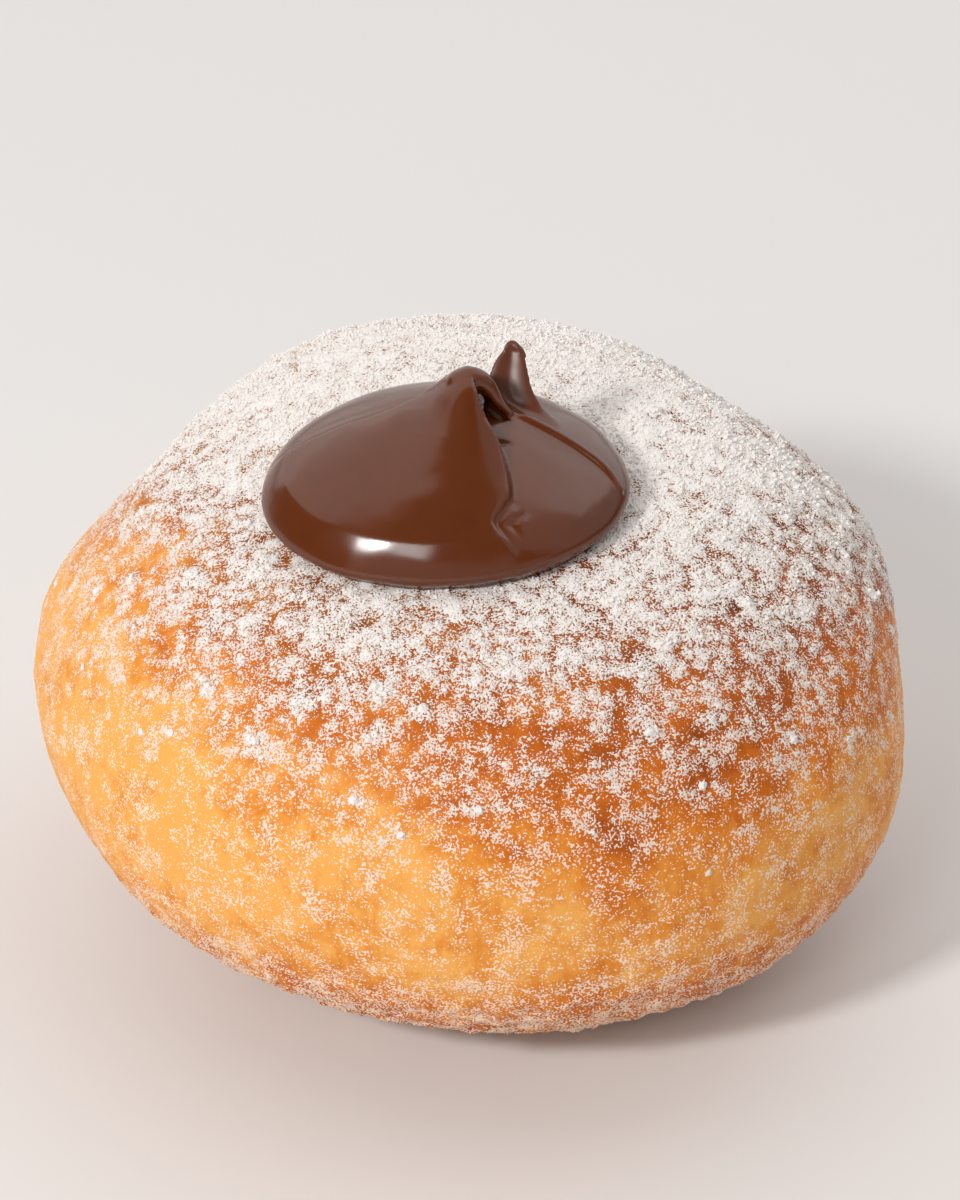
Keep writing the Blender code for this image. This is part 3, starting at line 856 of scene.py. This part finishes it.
def add_limb(axes, field, curve, shape, width):
    """Joins a shape round this curve to the field with a fillet of this width, or cuts it away where
    the width is negative. It is worked out only in the box round the curve."""
    box = []
    for axis, low, high in zip(axes, curve.min(axis=0) - LIMB_MARGIN, curve.max(axis=0) + LIMB_MARGIN):
        near = (axis > low) & (axis < high)
        box.append(slice(near.argmax(), len(near) - near[::-1].argmax()))
    places = np.stack(np.meshgrid(*[axes[i][box[i]] for i in range(3)], indexing="ij"), axis=-1)
    sign = math.copysign(1, width)
    field[tuple(box)] = sign * blended(sign * field[tuple(box)], shape(places), abs(width))


TAIL_CURL, TAIL_CURL_END = 0.5 * MM, 1.5
TAIL_GROOVE, TAIL_GROOVE_WIDTH = 0.5, 0.3
tail_sections = smooth_curve(on_bun(TAIL), LIMB_STEPS)


def tail_field(places):
    """A thin leaf with the sections of TAIL, hollow towards the front and grooved down its middle."""
    height = places[..., 2]
    levels = tail_sections[:, 2]
    middle_x, middle_y, half, thick = (
        np.interp(height, levels, tail_sections[:, column]) for column in (0, 1, 3, 4)
    )
    over_tip = np.clip((height - levels[-1]) / half, 0, None)
    wide = (places[..., 0] - middle_x) / half
    deep = (places[..., 1] - middle_y + TAIL_CURL * np.minimum(wide**2, TAIL_CURL_END)) / thick
    deep *= 1 + TAIL_GROOVE * np.exp(-((wide / TAIL_GROOVE_WIDTH) ** 2))
    return (np.sqrt(wide**2 + deep**2 + over_tip**2) - 1) * thick


TAIL_FILLET, ARCH_BACK_FILLET, NARROW_FILLET = 1.2 * MM, 0.6 * MM, 0.3 * MM
cream_axes, cream = cream_field()
ridge = np.column_stack([RIDGE, mound_top(RIDGE) + RIDGE_RISE, RIDGE_RADII])
add_limb(cream_axes, cream, tail_sections, tail_field, TAIL_FILLET)
for path, fillet in (
    (on_bun(TAIL_HOOK), NARROW_FILLET),
    (on_bun(ARCH_BACK), ARCH_BACK_FILLET),
    (np.concatenate([on_bun(ARCH), ridge]), NARROW_FILLET),
    (on_bun(HOLLOW_DEPTH), -NARROW_FILLET),
    (on_bun(HOLLOW), -NARROW_FILLET),
):
    add_limb(cream_axes, cream, *limb_field(path), fillet)
cream_mesh = net_over(cream, np.array([axis[0] for axis in cream_axes]), CREAM_CELL)
cream_object = new_object("chocolate_cream_dollop", cream_mesh)
# Takes the steps of the cells off the skin.
calmed = cream_object.modifiers.new("calmed", "SMOOTH")
calmed.factor = 0.5
calmed.iterations = 3
cream_object.data = plain_mesh(cream_object)

# The broad, shallow waves left where the coils slumped together: width and depth.
CREAM_WAVES = ((4.2 * MM, 0.09 * MM), (1.8 * MM, 0.012 * MM))


def wave(mesh):
    """Moves each point along its normal by the waves there."""
    points = places_of(mesh)
    normals = np.empty(points.size)
    mesh.vertices.foreach_get("normal", normals)
    rise = [sum(d * noise.noise(Vector(point / w)) for w, d in CREAM_WAVES) for point in points]
    points += normals.reshape(-1, 3) * np.array(rise)[:, None]
    mesh.vertices.foreach_set("co", points.ravel())
    mesh.update()


# Milk chocolate cream: smooth, oily and glossy, duller where the last of it was drawn out thin.
CREAM_COLOURS = ("#562403", "#622B05")
CREAM_GLOSS = {"To Min": 0.15, "To Max": 0.23}
SWIRL_WIDTH, STREAK_WIDTH, STREAK_DEPTH = 5 * MM, 1.6 * MM, 0.05 * MM
DULLNESS, DULL_HEIGHTS, DULL_DEPTHS = 0.2, (56.5 * MM, 58.5 * MM), (-2.8 * MM, -1.8 * MM)


def cream_material():
    made, tree, shader, place = new_material("milk_chocolate_cream")
    texture = {"Vector": place, "Scale": 1 / SWIRL_WIDTH, "Detail": 3.0, "Distortion": 1.0}
    swirl = add(tree, "ShaderNodeTexNoise", texture).outputs[0]
    colours = {0: swirl, 6: linear(CREAM_COLOURS[0]), 7: linear(CREAM_COLOURS[1])}
    tone = add(tree, "ShaderNodeMix", colours, data_type="RGBA").outputs[2]
    texture = {"Vector": place, "Scale": 1 / STREAK_WIDTH, "Detail": 4.0, "Roughness": 0.55}
    streaks = add(tree, "ShaderNodeTexNoise", texture).outputs[0]
    bump = {"Strength": 0.15, "Distance": STREAK_DEPTH, "Height": streaks}
    normal = add(tree, "ShaderNodeBump", bump).outputs[0]
    gloss = add(tree, "ShaderNodeMapRange", {"Value": swirl} | CREAM_GLOSS).outputs[0]
    parted = add(tree, "ShaderNodeSeparateXYZ", {0: place}).outputs
    high, behind = (
        add(tree, "ShaderNodeMapRange", {"Value": along, "From Min": start, "From Max": end}).outputs[0]
        for along, (start, end) in ((parted["Z"], DULL_HEIGHTS), (parted["Y"], DULL_DEPTHS))
    )
    on_tail = add(tree, "ShaderNodeMath", {0: high, 1: behind}, operation="MULTIPLY").outputs[0]
    dulled = {0: on_tail, 1: DULLNESS, 2: gloss}
    roughness = add(tree, "ShaderNodeMath", dulled, operation="MULTIPLY_ADD").outputs[0]
    finish = {"Base Color": tone, "Roughness": roughness, "Normal": normal}
    feed(tree, shader, finish | {"IOR": 1.58})
    return made


wave(cream_object.data)
cream_object.data.shade_smooth()
cream_object.data.materials.append(cream_material())
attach(cream_object, "root")
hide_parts("cream_dollop")


# ---- The icing sugar -----------------------------------------
# Sifted on before the cream welled up over it. The damp crust has drawn it into crumbs and lumps
# of all sizes, the largest a millimetre or two across, among loose grains.

# Icing sugar: matt white powder that scatters the light, tinted by the crust where it lies thin.
# Its grain is finer than the render can show and is drawn ten times as coarse.
POWDER_GRAIN, POWDER_GRAIN_DEPTH = 0.2 * MM, 0.12 * MM
THIN_SUGAR, THICK_SUGAR = "#EFCFA9", "#F2ECE7"
SUGAR_THICKENS = {"From Min": -2.0, "From Max": -0.6}


def sugar_material():
    made, tree, shader, place = new_material("icing_sugar")
    texture = {"Vector": place, "Scale": 1 / POWDER_GRAIN, "Detail": 2.0}
    grain = add(tree, "ShaderNodeTexNoise", texture).outputs[0]
    bump = {"Strength": 0.5, "Distance": POWDER_GRAIN_DEPTH, "Height": grain}
    normal = add(tree, "ShaderNodeBump", bump).outputs[0]
    sifted = add(tree, "ShaderNodeAttribute", attribute_name="sifted").outputs["Fac"]
    thick = add(tree, "ShaderNodeMapRange", {"Value": sifted} | SUGAR_THICKENS).outputs[0]
    colours = {0: thick, 6: linear(THIN_SUGAR), 7: linear(THICK_SUGAR)}
    colour = add(tree, "ShaderNodeMix", colours, data_type="RGBA").outputs[2]
    finish = {"Base Color": colour, "Normal": normal}
    feed(tree, shader, finish | {"Roughness": 0.85, "Specular IOR Level": 0.3})
    return made


icing_sugar = sugar_material()
SUGAR_OFF_CREAM, SUGAR_OFF_TABLE = -0.8 * MM, 0.5 * MM
bun_places = places_of(bun.data)
bare = (clear_of_dollop(bun_places) > SUGAR_OFF_CREAM) & (bun_places[:, 2] > SUGAR_OFF_TABLE)
give(bun.data, "uncovered", bare.astype(float))

CRUMB_LOOKS = 4
CRUMB_POINTS = {"Vertices X": 3, "Vertices Y": 3, "Vertices Z": 3}
CRUMB_DENTS = {"From Min": 0.3, "From Max": 0.7, "To Min": 0.55, "To Max": 1.25}


def crumb_shape(tree):
    """Several crumpled balls of 48 triangles, for instances to be picked from."""
    shapes = add(tree, "GeometryNodeJoinGeometry")
    for number in range(CRUMB_LOOKS):
        cube = add(tree, "GeometryNodeMeshCube", {"Size": (2, 2, 2)} | CRUMB_POINTS)
        place = add(tree, "GeometryNodeInputPosition").outputs[0]
        ball = add(tree, "ShaderNodeVectorMath", {0: place}, operation="NORMALIZE").outputs[0]
        texture = {"Vector": ball, "W": 3.0 * number, "Scale": 1.3}
        dents = add(tree, "ShaderNodeTexNoise", texture, noise_dimensions="4D").outputs[0]
        radius = add(tree, "ShaderNodeMapRange", {"Value": dents} | CRUMB_DENTS).outputs[0]
        dented = {0: ball, "Scale": radius}
        crumpled = add(tree, "ShaderNodeVectorMath", dented, operation="SCALE").outputs[0]
        moved = add(tree, "GeometryNodeSetPosition", {"Geometry": cube.outputs[0], "Position": crumpled})
        kept = add(tree, "GeometryNodeGeometryToInstance", {0: moved.outputs[0]})
        tree.links.new(kept.outputs[0], shapes.inputs[0])
    return shapes.outputs[0]


def grain_shape(tree):
    return add(tree, "GeometryNodeMeshIcoSphere", {"Radius": 1.0, "Subdivisions": 1}).outputs[0]


def dust_shape(tree):
    return add(tree, "GeometryNodeMeshUVSphere", {"Radius": 1.0, "Segments": 4, "Rings": 2}).outputs[0]


SPRINKLING_INPUTS = {
    "Most on a square metre": "Float",
    "Smallest": "Float",
    "Largest": "Float",
    "Thickness needed": "Float",
    "Seed": "Int",
}
FULL_SHARE = {"From Max": 1.5}  # how far past the thickness needed the grains lie at their densest
SMALL_MOSTLY = 2.0  # the power that makes small sizes the commonest
RESTING_HEIGHT = 0.35  # the share of its size by which a grain's middle stands off the crust
# A random value's sockets 0, 1 and 8 are its least, its most and its seed.
TURNS = {0: (0, 0, 0), 1: (6.28, 6.28, 6.28), 8: 2}
STRETCHES = {0: (0.7, 0.7, 0.7), 1: (1.3, 1.3, 1.3), 8: 3}


def sprinkling(name, shape, which):
    """A tree that scatters this shape where the sugar, sifted or clinging, lies."""
    tree, given = new_tree(name, SPRINKLING_INPUTS)
    place = add(tree, "GeometryNodeInputPosition").outputs[0]
    fallen, uncovered = (
        add(tree, "GeometryNodeInputNamedAttribute", {"Name": label}, data_type="FLOAT").outputs[0]
        for label in (which, "uncovered")
    )
    both = {0: sugar_amount(tree, place, which, fallen), 1: given["Thickness needed"]}
    spare = add(tree, "ShaderNodeMath", both, operation="SUBTRACT").outputs[0]
    share = add(tree, "ShaderNodeMapRange", {"Value": spare} | FULL_SHARE).outputs[0]
    seen = add(tree, "ShaderNodeMath", {0: share, 1: uncovered}, operation="MULTIPLY").outputs[0]
    both = {0: seen, 1: given["Most on a square metre"]}
    density = add(tree, "ShaderNodeMath", both, operation="MULTIPLY").outputs[0]
    sown = {"Mesh": given["Geometry"], "Density": density, "Seed": given["Seed"]}
    points = add(tree, "GeometryNodeDistributePointsOnFaces", sown).outputs
    draw = add(tree, "FunctionNodeRandomValue", {8: 1}, data_type="FLOAT").outputs[1]
    small = add(tree, "ShaderNodeMath", {0: draw, 1: SMALL_MOSTLY}, operation="POWER").outputs[0]
    sizes = {"Value": small, "To Min": given["Smallest"], "To Max": given["Largest"]}
    size = add(tree, "ShaderNodeMapRange", sizes).outputs[0]
    outward = {0: points["Normal"], "Scale": size}
    radius = add(tree, "ShaderNodeVectorMath", outward, operation="SCALE").outputs[0]
    part = {0: radius, "Scale": RESTING_HEIGHT}
    lift = add(tree, "ShaderNodeVectorMath", part, operation="SCALE").outputs[0]
    lifted = add(tree, "GeometryNodeSetPosition", {"Geometry": points[0], "Offset": lift})
    turn, stretch = (
        add(tree, "FunctionNodeRandomValue", draws, data_type="FLOAT_VECTOR").outputs[0]
        for draws in (TURNS, STRETCHES)
    )
    sized = {0: stretch, "Scale": size}
    scale = add(tree, "ShaderNodeVectorMath", sized, operation="SCALE").outputs[0]
    strewn = {"Points": lifted.outputs[0], "Instance": shape(tree), "Rotation": turn, "Scale": scale}
    grains = add(tree, "GeometryNodeInstanceOnPoints", strewn)
    grains.inputs["Pick Instance"].default_value = shape is crumb_shape
    real = add(tree, "GeometryNodeRealizeInstances", {0: grains.outputs[0]}).outputs[0]
    done = add(tree, "GeometryNodeSetMaterial", {"Geometry": real, "Material": icing_sugar})
    add(tree, "NodeGroupOutput", {"Geometry": done.outputs[0]})
    return tree


def sugar_piece(name, mesh):
    """The mesh as a piece of sugar on the bun."""
    piece = new_object(name, mesh)
    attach(piece, "root")
    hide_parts("fried_bun")


for name, shape, which, *values in (
    ("icing_sugar_crumbs", crumb_shape, "sifted", 1.9e6, 0.12 * MM, 0.28 * MM, 0.5, 3),
    ("icing_sugar_grains", grain_shape, "sifted", 2.5e6, 0.09 * MM, 0.16 * MM, 0.0, 4),
    ("icing_sugar_fine_grains", grain_shape, "clinging", 2.4e6, 0.06 * MM, 0.15 * MM, -0.2, 5),
    ("icing_sugar_specks", dust_shape, "sifted", 5.0e6, 0.06 * MM, 0.10 * MM, -0.5, 6),
    ("icing_sugar_dust", dust_shape, "clinging", 4.0e6, 0.05 * MM, 0.09 * MM, -0.9, 7),
):
    carrier = new_object(name + "_carrier", bun.data)
    mesh = grown(carrier, sprinkling(name, shape, which), dict(zip(SPRINKLING_INPUTS, values)))
    bpy.data.objects.remove(carrier)
    sugar_piece(name, mesh)


# The largest lumps: each a crumpled ball half sunk into the crust.
LUMP_SHARE, LUMP_FLATTENING, LUMP_STRETCHES = 0.95, 0.35, (0.8, 1.25)
LUMP_KNOB_WIDTH, LUMP_KNOB_DEPTH = 0.48, 0.75


def lumps_mesh():
    draw = np.random.default_rng(LUMP_SEED + 1)
    lumps = bmesh.new()
    for place, radius in zip(*lump_places()):
        stretch = Vector(draw.uniform(*LUMP_STRETCHES, 3))
        made = bmesh.ops.create_icosphere(lumps, subdivisions=3, radius=1)
        outward = Vector(place - (0, 0, BELLY_HEIGHT)).normalized()
        for vert in made["verts"]:
            to_knob = noise.voronoi(vert.co / LUMP_KNOB_WIDTH + Vector(place) / MM)[0][0]
            body = vert.co * stretch * (LUMP_SHARE * radius * (1 - LUMP_KNOB_DEPTH * to_knob))
            vert.co = Vector(place) + body - outward * (LUMP_FLATTENING * body.dot(outward))
    mesh = bpy.data.meshes.new("icing_sugar_lumps")
    lumps.to_mesh(mesh)
    lumps.free()
    give(mesh, "sifted", sifted_sugar(places_of(mesh)))
    mesh.materials.append(icing_sugar)
    return mesh


sugar_piece("icing_sugar_lumps", lumps_mesh())


# ---- The room it is seen in ----------------------------------
# A pale table under a broad soft light from above and behind, with two windows at the front left
# and lit walls in front, behind and to the right.

FLOOR_HALF_SIDE = 3.0
CAMERA_SLOPE = math.radians(34)
CAMERA_DISTANCE = 0.420
CAMERA_TARGET = Vector((0.00135, -0.00094, 0.0346))
CAMERA_LENS = 121.9

floor_mesh = bpy.data.meshes.new("table")
far, near = FLOOR_HALF_SIDE, -FLOOR_HALF_SIDE
corners = [(near, near, 0), (far, near, 0), (far, far, 0), (near, far, 0)]
floor_mesh.from_pydata(corners, [], [(0, 1, 2, 3)])
floor = new_object("table", floor_mesh)

# Pale paint with a dull sheen, so that the shadow reads and nothing is mirrored.
paint = bpy.data.materials.new("pale_matt_table")
paint.use_nodes = True
shader = paint.node_tree.nodes["Principled BSDF"]
feed(paint.node_tree, shader, {"Base Color": linear("#E1DDDA"), "Roughness": 0.6})
floor.data.materials.append(paint)

world = bpy.data.worlds.new("room")
bpy.context.scene.world = world
world.use_nodes = True
backdrop = world.node_tree.nodes["Background"]
feed(world.node_tree, backdrop, {"Color": linear("#FFFFFF"), "Strength": 0.12})
bpy.context.scene.view_settings.view_transform = "Standard"


def lamp(name, azimuth, slope, distance, size, watts):
    """A flat white lamp that faces the bun from this azimuth and slope, in degrees."""
    light = bpy.data.lights.new(name, "AREA")
    light.shape = "RECTANGLE"
    light.size, light.size_y = size
    light.energy = watts
    stand = bpy.data.objects.new(name, light)
    bpy.context.scene.collection.objects.link(stand)
    toward = Vector(direction(math.radians(azimuth), math.radians(slope)))
    stand.location = CAMERA_TARGET + toward * distance
    stand.rotation_euler = toward.to_track_quat("Z", "Y").to_euler()


lamp("window", -133, 37, 0.9, (0.12, 0.12), 4.6)
lamp("second_window", -112, 37, 0.9, (0.24, 0.24), 1.1)
lamp("front_wall", -90, 12, 1.6, (3.8, 0.8), 3.5)
lamp("ceiling", 95, 60, 0.9, (2.4, 1.2), 8.0)
lamp("right_wall", 5, 42, 1.3, (2.2, 1.5), 4.4)
lamp("back_wall", 90, 15, 1.6, (3.8, 0.8), 9.0)

camera_data = bpy.data.cameras.new("camera")
camera = bpy.data.objects.new("camera", camera_data)
bpy.context.scene.collection.objects.link(camera)
camera_data.lens = CAMERA_LENS
camera_data.sensor_width = 36
camera_data.clip_start = 0.01
right = Vector((1, 0, 0))
up = Vector((0, math.sin(CAMERA_SLOPE), math.cos(CAMERA_SLOPE)))
back = right.cross(up)
camera.matrix_world = Matrix((right, up, back)).transposed().to_4x4()
camera.matrix_world.translation = CAMERA_TARGET + back * CAMERA_DISTANCE
bpy.context.scene.camera = camera
